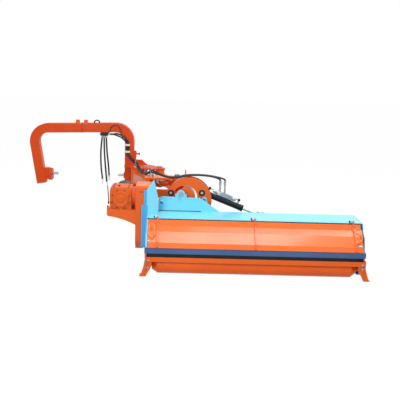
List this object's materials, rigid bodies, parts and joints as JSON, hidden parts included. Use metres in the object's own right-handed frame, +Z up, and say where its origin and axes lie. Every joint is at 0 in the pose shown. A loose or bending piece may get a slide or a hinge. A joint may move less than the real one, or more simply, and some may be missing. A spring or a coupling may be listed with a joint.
{
  "type": "flail mower",
  "caption": "Offset verge flail mower with a bent-tube hitch arch, side-shift arm, tilting deck, hood, rotor and rear roller.",
  "frame": {"origin": "on the ground under the middle of the mower's box, its free hoses left out", "axes": "+X to the right seen from behind, +Y forward to the tractor, +Z up"},
  "size_m": [3.3915, 1.814, 1.2497],
  "materials": {
    "orange_paint": "gloss",
    "blue_paint": "gloss",
    "dark_blue_paint": "gloss",
    "black_paint": "gloss",
    "black_rubber": "matte",
    "black_plastic": "matte",
    "white_plastic": "matte",
    "steel": "satin"
  },
  "bodies": {
    "headstock": {"hitch_arch": "orange_paint", "top_link_lugs": "orange_paint", "lower_link_brackets": "orange_paint", "lower_link_pins": "steel", "pivot_bracket": "orange_paint", "link_pins": "steel", "stop_bolt": "steel", "hose_clamps": "white_plastic", "hose_hanger": "black_rubber", "leg_hoses": "black_rubber", "hanging_hose_1": "black_rubber", "hanging_hose_2": "black_rubber", "hanging_hose_3": "black_rubber", "hanging_cable": "black_rubber", "quick_couplers": "steel", "cable_plug": "steel"},
    "left_arm": {"left_link": "orange_paint", "arm_hoses": "black_rubber"},
    "right_arm": {"right_link": "orange_paint"},
    "knuckle": {"knuckle": "orange_paint", "knuckle_pins": "steel", "float_pin": "steel"},
    "shift_barrel": {"shift_barrel": "black_paint"},
    "shift_rod": {"shift_rod": "steel"},
    "tilt_head": {"tilt_head": "orange_paint", "cylinder_pin": "steel", "tilt_hinge_pins": "steel", "tilt_hoses": "black_rubber"},
    "tilt_barrel": {"tilt_barrel": "black_paint", "lock_valve": "steel", "cylinder_fittings": "steel"},
    "tilt_rod": {"tilt_rod": "steel"},
    "deck": {"deck_shell": "blue_paint", "left_side_plate": "blue_paint", "right_side_plate": "blue_paint", "rear_beam": "dark_blue_paint", "pivot_plinth": "blue_paint", "transport_pin": "steel", "belt_cover": "orange_paint", "gearbox_bracket": "orange_paint", "gearbox_housing": "orange_paint", "gearbox_cover": "orange_paint", "gearbox_bolts": "steel", "pto_guard": "black_plastic", "drive_belt": "black_rubber", "rotor_bearings": "steel", "roller_brackets": "orange_paint", "bracket_bolts": "steel", "scraper_bar": "orange_paint", "skids": "blue_paint", "rubber_flap": "black_rubber", "flap_rod": "steel"},
    "rotor": {"rotor": "steel", "flails": "steel"},
    "drive_pulley": {"drive_pulley": "steel"},
    "pto_shaft": {"pto_shaft": "steel"},
    "roller": {"roller": "orange_paint"},
    "hood": {"hood": "orange_paint", "hood_fittings": "orange_paint"},
    "front_flaps": {"front_flaps": "black_rubber"}
  },
  "joints": [
    {"name": "swing", "type": "hinge", "parent": "headstock", "child": "left_arm", "pos_m": [-0.52422, 0.571, 0.666], "axis": [0, 0, -1], "range_deg": [-10, 40], "deforming": ["arm_hoses"]},
    {"name": "right_swing", "type": "hinge", "parent": "headstock", "child": "right_arm", "pos_m": [-0.26422, 0.571, 0.666], "axis": [0, 0, -1], "range_deg": [-11, 41]},
    {"name": "knuckle_swing", "type": "hinge", "parent": "left_arm", "child": "knuckle", "pos_m": [-0.33269, 0.04477, 0.666], "axis": [0, 0, -1], "range_deg": [-41, 11]},
    {"name": "shift_barrel_turn", "type": "hinge", "parent": "headstock", "child": "shift_barrel", "pos_m": [-0.42422, 0.556, 0.666], "axis": [0, 0, -1], "range_deg": [-10.27, 38.1]},
    {"name": "shift_rod_slide", "type": "slide", "parent": "shift_barrel", "child": "shift_rod", "axis": [0.4926, -0.8703, 0], "range_m": [-0.1099, 0.029]},
    {"name": "float", "type": "hinge", "parent": "knuckle", "child": "tilt_head", "pos_m": [-0.12822, -0.1715, 0.647], "axis": [0, -1, 0], "range_deg": [0, 12], "deforming": ["tilt_hoses"]},
    {"name": "tilt", "type": "hinge", "parent": "tilt_head", "child": "deck", "pos_m": [0.19778, -0.1715, 0.589], "axis": [0, -1, 0], "range_deg": [-15, 90], "deforming": ["tilt_hoses"]},
    {"name": "tilt_barrel_turn", "type": "hinge", "parent": "tilt_head", "child": "tilt_barrel", "pos_m": [0.17378, -0.1715, 0.655], "axis": [0, -1, 0], "range_deg": [-15.88, 90.28]},
    {"name": "tilt_rod_slide", "type": "slide", "parent": "tilt_barrel", "child": "tilt_rod", "axis": [0.9335, 0, -0.3585], "range_m": [-0.1015, 0.0186]},
    {"name": "rotor_spin", "type": "hinge", "parent": "deck", "child": "rotor", "pos_m": [0.65578, -0.409, 0.26], "axis": [1, 0, 0], "continuous": true},
    {"name": "pulley_spin", "type": "hinge", "parent": "deck", "child": "drive_pulley", "pos_m": [-0.43422, -0.369, 0.627], "axis": [1, 0, 0], "continuous": true},
    {"name": "pto_spin", "type": "hinge", "parent": "deck", "child": "pto_shaft", "pos_m": [-0.58922, -0.309, 0.627], "axis": [0, 1, 0], "continuous": true},
    {"name": "roller_spin", "type": "hinge", "parent": "deck", "child": "roller", "pos_m": [0.65578, -0.739, 0.08], "axis": [1, 0, 0], "continuous": true},
    {"name": "hood_lift", "type": "hinge", "parent": "deck", "child": "hood", "pos_m": [0.65578, -0.644, 0.5], "axis": [-1, 0, 0], "range_deg": [0, 100]},
    {"name": "flap_swing", "type": "hinge", "parent": "deck", "child": "front_flaps", "pos_m": [0.65578, -0.162, 0.263], "axis": [1, 0, 0], "range_deg": [-10, 70]}
  ],
  "couplings": [
    {"joint": "right_swing", "follows": "swing", "ratio": 1},
    {"joint": "knuckle_swing", "follows": "swing", "ratio": -1},
    {"joint": "shift_barrel_turn", "follows": "swing", "ratio": 0.9274},
    {"joint": "shift_rod_slide", "follows": "swing", "m_per_rad": -0.1546},
    {"joint": "tilt_barrel_turn", "follows": "tilt", "ratio": 0.99205},
    {"joint": "tilt_rod_slide", "follows": "tilt", "m_per_rad": -0.063312},
    {"joint": "pulley_spin", "follows": "rotor_spin", "ratio": 0.78947},
    {"joint": "pto_spin", "follows": "rotor_spin", "ratio": -0.3056}
  ]
}
